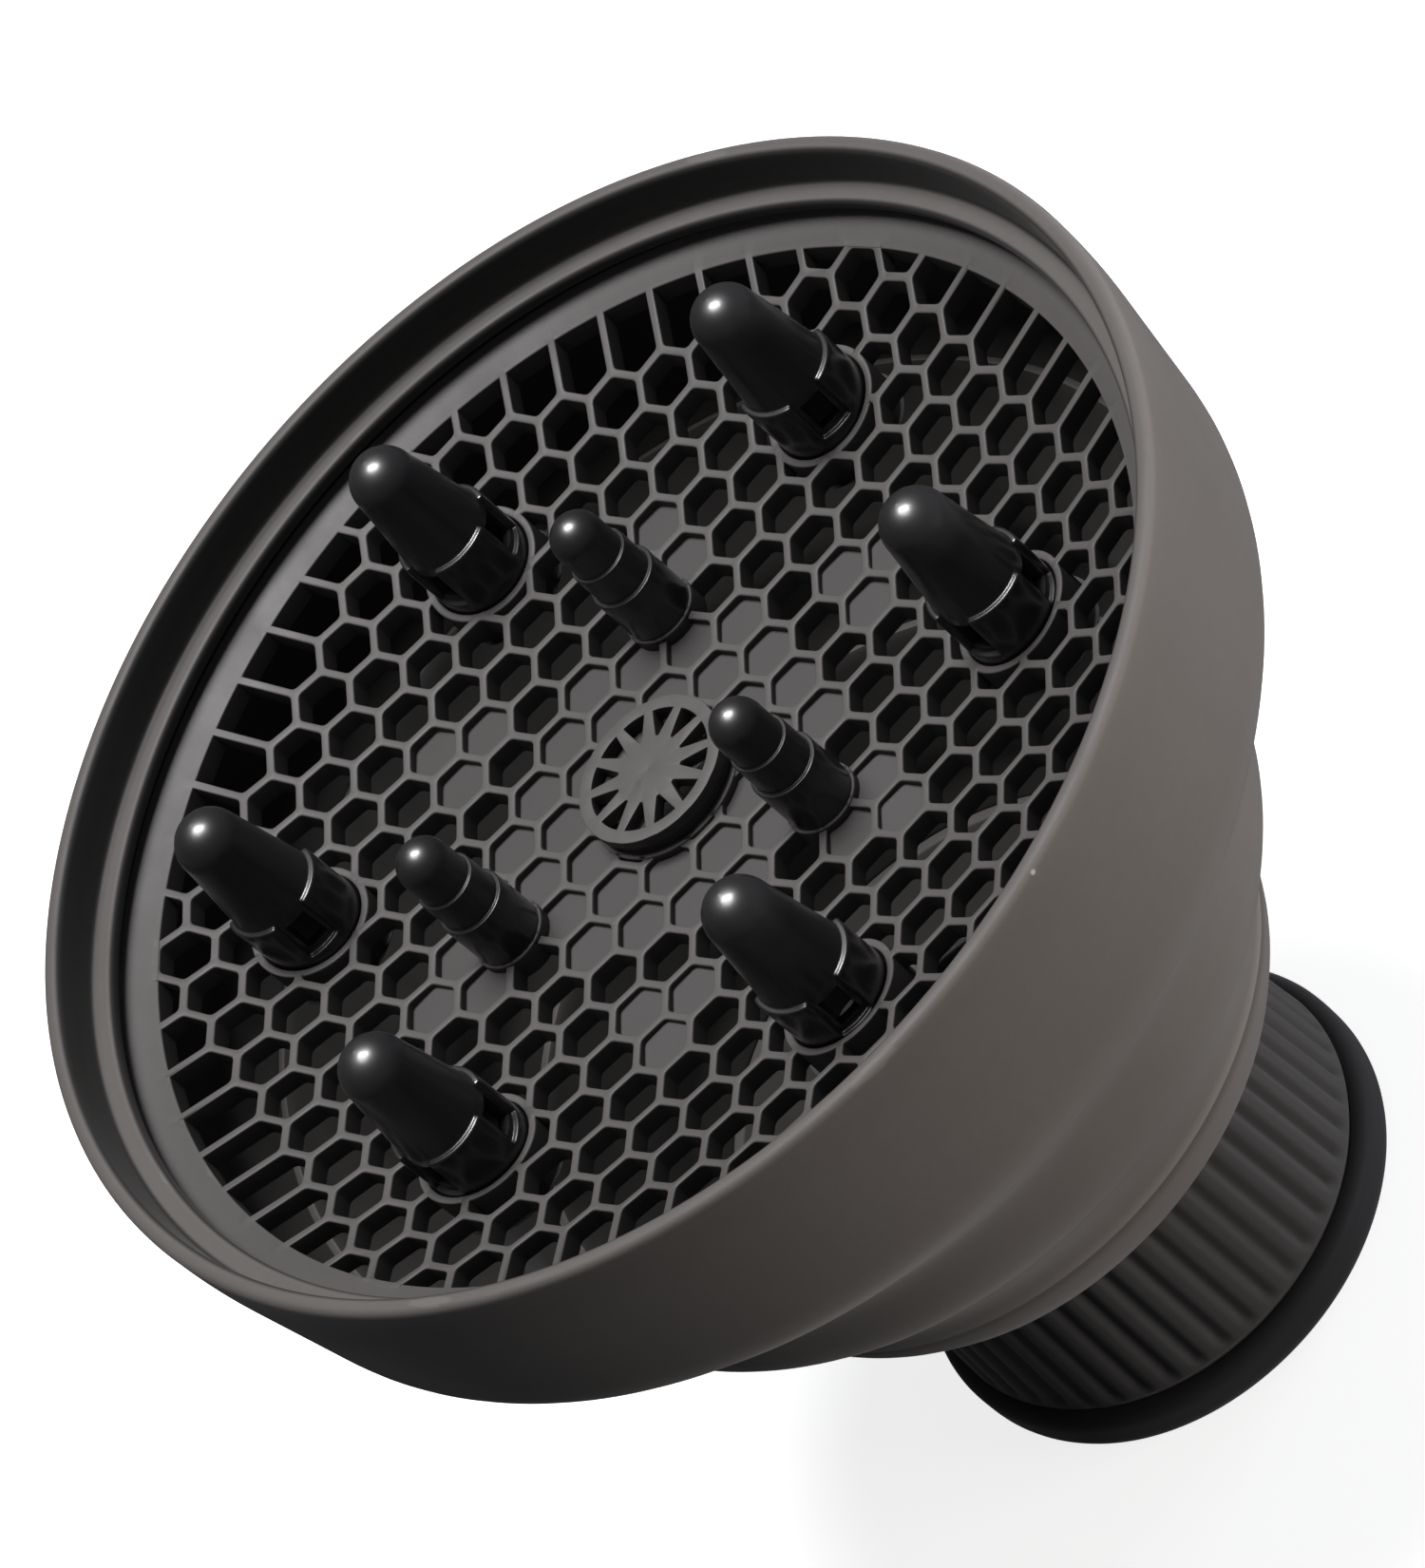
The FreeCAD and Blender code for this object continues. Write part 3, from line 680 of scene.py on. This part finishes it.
    def solid(self, points, triangles, labels, sizes):
        """Closed solid over the map: rounded top edges, walls between levels, flat underside."""
        rounding, steps = sizes.edge, self.rounding_steps
        order = {None: 0, "plate": 2, "collar": 2, "small_boss": 3, "cap_boss": 3}
        rank = {label: order.get(label, 1) for label in set(labels) | {None}}
        sides = {}
        for t, (a, b, c) in enumerate(triangles):
            for v, w in ((a, b), (b, c), (c, a)):
                sides.setdefault(frozenset((v, w)), []).append((t, v, w))
        steps_down = []
        inward = {}
        for users in sides.values():
            found = [(labels[t], v, w) for t, v, w in users]
            if len(found) == 1:
                found.append((None, found[0][2], found[0][1]))
            (la, v, w), (lb, _, _) = found
            if rank[la] < rank[lb]:
                (la, v, w), (lb, _, _) = found[1], found[0]
            if la is None or rank[la] == rank[lb] and self.same_low(la) == self.same_low(lb):
                continue
            steps_down.append((la, lb, v, w))
            if rank[la] > rank[lb]:
                along = (points[w] - points[v]).normalized()
                side = Vector((-along.y, along.x))
                inward.setdefault((v, self.group(la)), []).append(side)
                inward.setdefault((w, self.group(la)), []).append(side)
        vertices, index, faces = [], {}, []

        def corner(key, x, y, z):
            if key not in index:
                index[key] = len(vertices)
                vertices.append((x, y, z))
            return index[key]

        def top(v, label, row=0):
            """Vertex of a region's top; row counts down its rounded edge."""
            group = self.group(label)
            x, y = points[v]
            z = self.top_height(label, math.hypot(x, y), sizes)
            edges = inward.get((v, group))
            if edges is None:
                return corner((v, group, 0), x, y, z)
            total = sum(edges, Vector((0, 0)))
            if total.length < 0.2:
                move = Vector((0, 0))
            else:
                total.normalize()
                move = total / max(0.45, total.dot(edges[0]))
            turn = math.pi / 2.0 * row / steps
            reach = rounding * (1.0 - math.sin(turn))
            drop = rounding * (1.0 - math.cos(turn))
            return corner((v, group, row), x + move.x * reach, y + move.y * reach, z - drop)

        def low(v, label):
            x, y = points[v]
            if self.same_low(label) == "collar":
                return corner((v, "low_collar"), x, y, GRILLE_LOW.z)
            return corner((v, "low"), x, y, face_height(math.hypot(x, y)) - sizes.grille)

        for t, (a, b, c) in enumerate(triangles):
            if labels[t] is None:
                continue
            faces.append((top(a, labels[t]), top(b, labels[t]), top(c, labels[t])))
            faces.append((low(c, labels[t]), low(b, labels[t]), low(a, labels[t])))
        for la, lb, v, w in steps_down:
            if rank[la] > rank[lb]:
                for row in range(steps):
                    faces.append((top(v, la, row), top(v, la, row + 1),
                                  top(w, la, row + 1), top(w, la, row)))
                under_v = low(v, la) if lb is None else top(v, lb)
                under_w = low(w, la) if lb is None else top(w, lb)
                faces.append((top(v, la, steps), under_v, under_w, top(w, la, steps)))
            if lb is not None and self.same_low(la) != self.same_low(lb):
                faces.append((low(v, la), low(w, la), low(w, lb), low(v, lb)))
        faces = [tuple(dict.fromkeys(face)) for face in faces]
        return vertices, [face for face in faces if len(face) > 2]

    def group(self, label):
        """Plate and collars share one level top."""
        return "plate" if label == "collar" else label

    def same_low(self, label):
        return "collar" if label == "collar" else "plate"


def cell_corner_pair(sizes):
    corner = (sizes.pitch - sizes.cell_wall) / 2.0 / math.cos(math.radians(30))
    return (Vector((corner, 0)), Vector((corner / 2.0, corner * math.sin(math.radians(60)))))


# Cap and fingers

def skin_pair(name, outer, inner, is_open):
    """Solid between two grids of points with the same rows and columns, with openings through both."""
    rows, columns = len(outer), len(outer[0])
    vertices = [p for row in outer for p in row] + [p for row in inner for p in row]
    shift = rows * columns
    faces = []
    for i in range(rows - 1):
        for j in range(columns):
            k = (j + 1) % columns
            if is_open(i, j):
                for (a, b), (ni, nj) in (((i * columns + j, i * columns + k), (i - 1, j)),
                                         (((i + 1) * columns + k, (i + 1) * columns + j), (i + 1, j)),
                                         (((i + 1) * columns + j, i * columns + j), (i, (j - 1) % columns)),
                                         ((i * columns + k, (i + 1) * columns + k), (i, k))):
                    if not is_open(ni, nj):
                        faces.append((b, a, a + shift, b + shift))
                continue
            faces.append((i * columns + j, i * columns + k, (i + 1) * columns + k, (i + 1) * columns + j))
            faces.append(((i + 1) * columns + j + shift, (i + 1) * columns + k + shift,
                          i * columns + k + shift, i * columns + j + shift))
    for j in range(columns):
        k = (j + 1) % columns
        faces.append((j, k, k + shift, j + shift))
        last = (rows - 1) * columns
        faces.append((last + k, last + j, last + j + shift, last + k + shift))
    faces = [tuple(dict.fromkeys(face)) for face in faces]
    return new_piece(name, vertices, [face for face in faces if len(face) > 2])


def softened(piece, width, segments=2):
    """The piece with its sharp edges rounded off, as one finished mesh."""
    bevel = piece.modifiers.new("rounded_edges", "BEVEL")
    bevel.width = width
    bevel.segments = segments
    bevel.limit_method = "ANGLE"
    bevel.angle_limit = math.radians(40)
    rounded = bpy.data.meshes.new_from_object(piece.evaluated_get(bpy.context.evaluated_depsgraph_get()))
    piece.modifiers.clear()
    piece.data = rounded
    rounded.shade_smooth()
    rounded.set_sharp_from_angle(angle=math.radians(38))
    return piece


class DIFFUSER_OT_cap(bpy.types.Operator):
    """Centre cap with its rosette of twelve wedge openings"""
    bl_idname = "diffuser.cap"
    bl_label = "Centre cap"

    slots = 12

    def execute(self, context):
        cap_r, top = CAP_HIGH.x, CAP_HIGH.z
        plate, spoke, tip = 1.8 * MM, 1.15 * MM, 0.4 * MM
        hub_r, slot_r, skirt_r = 4.5 * MM, cap_r - 1.7 * MM, cap_r - 0.5 * MM
        seat = CAP_LOW.z + 2.0 * MM
        spigot_r = 7.95 * MM
        wall_in_r, bore_r = slot_r + 0.25 * MM, 6.9 * MM
        under = top - plate
        plate_r = (TIP_R, 2.2 * MM, hub_r, (hub_r + slot_r) / 2.0, slot_r)
        upper = [(r, top) for r in plate_r] + [
            (cap_r, top), (cap_r, under + 0.4 * MM), (skirt_r, under), (skirt_r, seat),
            (spigot_r, seat), (spigot_r, CAP_LOW.z)]
        lower = [(r, under) for r in plate_r] + [
            (wall_in_r, under), (wall_in_r, under - 0.5 * MM), (wall_in_r, seat + 1.0 * MM),
            (bore_r, seat + 0.2 * MM), (bore_r, seat), (bore_r, CAP_LOW.z)]
        across = [-1.0, -0.5, 0.0, 0.5, 1.0]
        step = 2.0 * math.pi / self.slots

        def angles(r):
            """Column angles: each wedge from side to side, from a narrow tip at the hub."""
            out = min(max((r - hub_r) / (slot_r - hub_r), 0.0), 1.0)
            wide = step / 2.0 - math.asin(spoke / 2.0 / slot_r)
            spread_angle = math.atan((tip / 2.0 + (wide * slot_r - tip / 2.0) * out) / max(r, hub_r))
            return [step * (k + 0.5) + spread_angle * side for k in range(self.slots) for side in across]

        outer = [[(r * math.cos(a), r * math.sin(a), z) for a in angles(r)] for r, z in upper]
        inner = [[(r * math.cos(a), r * math.sin(a), z) for a in angles(max(r, q))]
                 for (r, z), (q, _) in zip(lower, upper)]

        def wedge(i, j):
            return i in (2, 3) and j % len(across) != len(across) - 1

        piece = skin_pair("rosette_cap", outer, inner, wedge)
        softened(piece, 0.22 * MM, 3)
        grey = shared_material("grille_grey", grille_plastic, context.scene.diffuser_colours.grille)
        finished(piece, grey)
        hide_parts("centre_cap")
        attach(piece, "bowl")
        return {"FINISHED"}


class DIFFUSER_OT_large_fingers(bpy.types.Operator):
    """Hollow fingers with a domed tip, three pads at the foot and a window in each gap"""
    bl_idname = "diffuser.large_fingers"
    bl_label = "Large fingers"

    dome_rows = 10
    gap_deg = 40.0
    window_half = 1.5 * MM
    base_r, neck_r, dome_r, foot_r = 6.5 * MM, 5.75 * MM, 4.35 * MM, 8.2 * MM

    def profiles(self, sizes, seat, high, low):
        """Rows from the foot to the tip: (pad r, pad z, gap r, gap z, inner r, inner z)."""
        base_r, neck_r, dome_r, foot_r = self.base_r, self.neck_r, self.dome_r, self.foot_r
        foot_top = GRILLE_LOW.z - 0.02 * MM
        ledge, gap_low = seat + sizes.finger_ledge, seat + 1.0 * MM
        win_low, win_high = seat + 1.8 * MM, seat + 6.6 * MM
        dome_z = high - dome_r
        pad = outline([
            (foot_r, low, 0), (foot_r, foot_top, 0.2 * MM), (base_r, foot_top, 0.2 * MM),
            (base_r, gap_low, 0.25 * MM), (base_r, gap_low + 0.6 * MM, 0.2 * MM),
            (base_r, win_low + 0.8 * MM, 0.1 * MM), (base_r, win_high, 0.1 * MM),
            (base_r, ledge, 0.3 * MM), (neck_r, ledge, 0.25 * MM), (dome_r, dome_z, 0)], 3, False)
        gap = outline([
            (foot_r, low, 0), (foot_r, foot_top, 0.2 * MM), (base_r, foot_top, 0.2 * MM),
            (base_r, gap_low, 0.25 * MM), (neck_r, gap_low, 0.25 * MM),
            (neck_r, win_low + 0.1 * MM, 0.1 * MM), (neck_r, win_high, 0.1 * MM),
            (neck_r, ledge - 0.5 * MM, 0.2 * MM), (neck_r, ledge, 0.2 * MM), (dome_r, dome_z, 0)], 3, False)
        bore_r, tip_r = neck_r - sizes.finger_wall, dome_r - sizes.finger_wall
        rows = []
        for p, g in zip(pad, gap):
            share = min(max((g.y - ledge) / (dome_z - ledge), 0.0), 1.0)
            rows.append((p.x, p.y, g.x, g.y, bore_r + (tip_r - bore_r) * share, g.y))
        for k in range(1, self.dome_rows + 1):
            turn = math.pi / 2.0 * k / self.dome_rows * 0.995
            r, z = dome_r * math.cos(turn), dome_z + dome_r * math.sin(turn)
            rows.append((r, z, r, z, tip_r * math.cos(turn), dome_z + tip_r * math.sin(turn)))
        return rows, win_low, win_high

    def columns(self):
        """Column angles over one third of the finger, with how much of a pad each one carries."""
        half_gap = self.gap_deg / 2.0
        window = math.degrees(math.asin(self.window_half / self.neck_r))
        rounding = 2.2
        third = [(-window, 0.0), (-window / 2, 0.0), (0.0, 0.0), (window / 2, 0.0), (window, 0.0),
                 (half_gap - rounding, 0.0), (half_gap, 0.12), (half_gap + rounding * 0.4, 0.6),
                 (half_gap + rounding, 0.9), (half_gap + 2 * rounding, 1.0)]
        start = half_gap + 2 * rounding
        flat = 120.0 - 2 * start
        third += [(start + flat * k / 10, 1.0) for k in range(1, 10)]
        third += [(120.0 - a, p) for a, p in reversed(third[5:10])]
        return third

    def execute(self, context):
        sizes = context.scene.diffuser_sizes
        material = shared_material("finger_black", finger_plastic, context.scene.diffuser_colours.finger)
        for number, name in enumerate(LARGE_FINGERS):
            spot = middle(name)
            node_low, node_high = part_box(name)
            seat = face_height(spot.xy.length)
            rows, win_low, win_high = self.profiles(sizes, seat, node_high.z, node_low.z)
            outward = math.atan2(spot.y, spot.x)
            third = self.columns()
            grid = [(outward + math.radians(a + 120.0 * k), p) for k in range(3) for a, p in third]
            outer, inner = [], []
            for pad_r, pad_z, gap_r, gap_z, in_r, in_z in rows:
                outer.append([(spot.x + (gap_r + (pad_r - gap_r) * p) * math.cos(a),
                               spot.y + (gap_r + (pad_r - gap_r) * p) * math.sin(a),
                               gap_z + (pad_z - gap_z) * p) for a, p in grid])
                inner.append([(spot.x + in_r * math.cos(a), spot.y + in_r * math.sin(a), in_z)
                              for a, _ in grid])

            def window(i, j, rows=rows, count=len(third)):
                inside = win_low - 0.01 * MM < rows[i][3] and rows[min(i + 1, len(rows) - 1)][3] < win_high
                return 0 <= i < len(rows) - 1 and inside and j % count < 4

            piece = skin_pair("finger_large_" + str(number + 1), outer, inner, window)
            finished(piece, material)
            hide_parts(name)
            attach(piece, "bowl")
        return {"FINISHED"}


class DIFFUSER_OT_small_fingers(bpy.types.Operator):
    """Solid fingers with two round steps and a domed tip"""
    bl_idname = "diffuser.small_fingers"
    bl_label = "Small fingers"

    dome_rows = 12
    mid_r, high_r = 3.85 * MM, 3.4 * MM         # radii above the first and the second step
    first_step, second_step = 7.5 * MM, 12.3 * MM

    def execute(self, context):
        material = shared_material("finger_black", finger_plastic, context.scene.diffuser_colours.finger)
        for number, name in enumerate(SMALL_FINGERS):
            spot = middle(name)
            low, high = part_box(name)
            r_low, r_mid, r_high = high.x - spot.x, self.mid_r, self.high_r
            seat = small_seat(name)
            step_1, step_2 = seat + self.first_step, seat + self.second_step
            dome_z = high.z - r_high
            points = outline([
                (TIP_R, low.z, 0), (SMALL_STUD_R, low.z, 0.2 * MM), (SMALL_STUD_R, seat, 0.1 * MM),
                (r_low, seat, 0.2 * MM), (r_low, step_1, 0.22 * MM), (r_mid, step_1, 0.12 * MM),
                (r_mid, step_2, 0.2 * MM), (r_high, step_2, 0.12 * MM), (r_high, dome_z, 0)], 4, False)
            for k in range(1, self.dome_rows + 1):
                turn = math.pi / 2.0 * k / self.dome_rows * 0.995
                points.append(Vector((r_high * math.cos(turn), dome_z + r_high * math.sin(turn))))
            piece = turned("finger_small_" + str(number + 1), points, 72)
            piece.data.transform(Matrix.Translation((spot.x, spot.y, 0.0)))
            finished(piece, material)
            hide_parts(name)
            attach(piece, "bowl")
        return {"FINISHED"}


# Stage

def aimed(thing, place, target):
    thing.location = place
    thing.rotation_mode = "QUATERNION"
    thing.rotation_quaternion = (Vector(target) - Vector(place)).to_track_quat("-Z", "Y")


def around_axis(azimuth_deg, elevation_deg, distance):
    """A place seen from the object's foot at that azimuth from +X and that elevation."""
    a, e = math.radians(azimuth_deg), math.radians(elevation_deg)
    return Vector((math.cos(a) * math.cos(e), math.sin(a) * math.cos(e), math.sin(e))) * distance


class DIFFUSER_OT_stage(bpy.types.Operator):
    """Pale floor, soft studio light and the camera"""
    bl_idname = "diffuser.stage"
    bl_label = "Stage"

    def floor(self, rgb):
        body = bmesh.new()
        bmesh.ops.create_circle(body, cap_ends=True, radius=8.0, segments=96)
        mesh = bpy.data.meshes.new("floor")
        body.to_mesh(mesh)
        body.free()
        floor = bpy.data.objects.new("floor", mesh)
        bpy.context.scene.collection.objects.link(floor)
        material, tree, shader = new_material("floor_pale")
        where = add_node(tree, "ShaderNodeTexCoord").outputs["Object"]
        cloud = noise_node(tree, where, 3.0).outputs["Fac"]
        base = mixed(tree, spread(tree, cloud, 0.3, 0.7, 0.0, 1.0), shade(rgb, 0.985), shade(rgb, 1.01))
        tree.links.new(base, shader.inputs["Base Color"])
        shader.inputs["Roughness"].default_value = 0.85
        shader.inputs["Specular IOR Level"].default_value = 0.15
        shader.inputs["Emission Color"].default_value = (1.0, 1.0, 1.0, 1.0)
        shader.inputs["Emission Strength"].default_value = 0.8
        mesh.materials.append(material)
        floor.visible_diffuse = False
        floor.visible_glossy = False

    def light(self, name, kind, energy, rgb, place, target, shines=True, lights=True, **settings):
        data = bpy.data.lights.new(name, kind)
        data.energy = energy
        data.color = rgb
        for key, value in settings.items():
            setattr(data, key, value)
        lamp = bpy.data.objects.new(name, data)
        bpy.context.scene.collection.objects.link(lamp)
        aimed(lamp, place, target)
        lamp.visible_camera = False
        lamp.visible_glossy = shines
        lamp.visible_diffuse = lights

    def camera(self):
        data = bpy.data.cameras.new("camera")
        data.lens = 169.6
        data.sensor_width = 36.0
        data.clip_start, data.clip_end = 0.05, 30.0
        camera = bpy.data.objects.new("camera", data)
        bpy.context.scene.collection.objects.link(camera)
        target = Vector((-0.0004, 0.0034, 0.1029))
        aimed(camera, target + around_axis(6.06, 40.83, 0.8539), target)
        roll = Quaternion((0, 0, 1), math.radians(-49.19))
        camera.rotation_quaternion = camera.rotation_quaternion @ roll
        bpy.context.scene.camera = camera

    def execute(self, context):
        self.floor(context.scene.diffuser_colours.floor)
        centre = (0.0, 0.0, 0.07)
        self.light("overhead", "SUN", 2.7, (1.0, 0.985, 0.97), (-0.3, 0.12, 2.0), (0, 0, 0),
                   angle=math.radians(30))
        warm_place = around_axis(52, -6, 0.75) + Vector((0, 0, 0.1))
        cool_place = around_axis(105, 3, 0.8) + Vector((0, 0, 0.05))
        self.light("low_side", "AREA", 8.2, (1.0, 0.93, 0.87), warm_place, centre, False,
                   shape="RECTANGLE", size=0.5, size_y=0.16)
        self.light("cool_side", "AREA", 3.4, (0.78, 0.88, 1.0), cool_place, centre, False,
                   shape="RECTANGLE", size=0.4, size_y=0.2)
        self.light("softbox", "AREA", 9.0, (0.97, 0.98, 1.0), (-0.2, 0.1, 0.95), centre, True, False,
                   shape="RECTANGLE", size=0.42, size_y=0.2)
        world = bpy.data.worlds.new("studio")
        world.use_nodes = True
        world.node_tree.nodes["Background"].inputs["Color"].default_value = (0.95, 0.97, 1.0, 1.0)
        world.node_tree.nodes["Background"].inputs["Strength"].default_value = 0.07
        bpy.context.scene.world = world
        bpy.context.scene.view_settings.view_transform = "Standard"
        self.camera()
        return {"FINISHED"}


class DIFFUSER_PT_panel(bpy.types.Panel):
    """Lists the steps that build the diffuser"""
    bl_label = "Dryer diffuser"
    bl_idname = "DIFFUSER_PT_panel"
    bl_space_type = "VIEW_3D"
    bl_region_type = "UI"
    bl_category = "Diffuser"

    def draw(self, context):
        for operator in OPERATORS:
            self.layout.operator(operator.bl_idname)
        for group in (context.scene.diffuser_sizes, context.scene.diffuser_colours):
            box = self.layout.box()
            for key in group.__annotations__:
                box.prop(group, key)


OPERATORS = (
    DIFFUSER_OT_bowl,
    DIFFUSER_OT_folds,
    DIFFUSER_OT_neck,
    DIFFUSER_OT_grille,
    DIFFUSER_OT_cap,
    DIFFUSER_OT_large_fingers,
    DIFFUSER_OT_small_fingers,
    DIFFUSER_OT_stage,
)
CLASSES = (DiffuserSizes, DiffuserColours) + OPERATORS + (DIFFUSER_PT_panel,)


def register():
    for cls in CLASSES:
        bpy.utils.register_class(cls)
    bpy.types.Scene.diffuser_sizes = bpy.props.PointerProperty(type=DiffuserSizes)
    bpy.types.Scene.diffuser_colours = bpy.props.PointerProperty(type=DiffuserColours)


def unregister():
    del bpy.types.Scene.diffuser_colours
    del bpy.types.Scene.diffuser_sizes
    for cls in reversed(CLASSES):
        bpy.utils.unregister_class(cls)


def main():
    register()
    for operator in OPERATORS:
        group, name = operator.bl_idname.split(".")
        getattr(getattr(bpy.ops, group), name)()


if __name__ == "__main__":
    main()
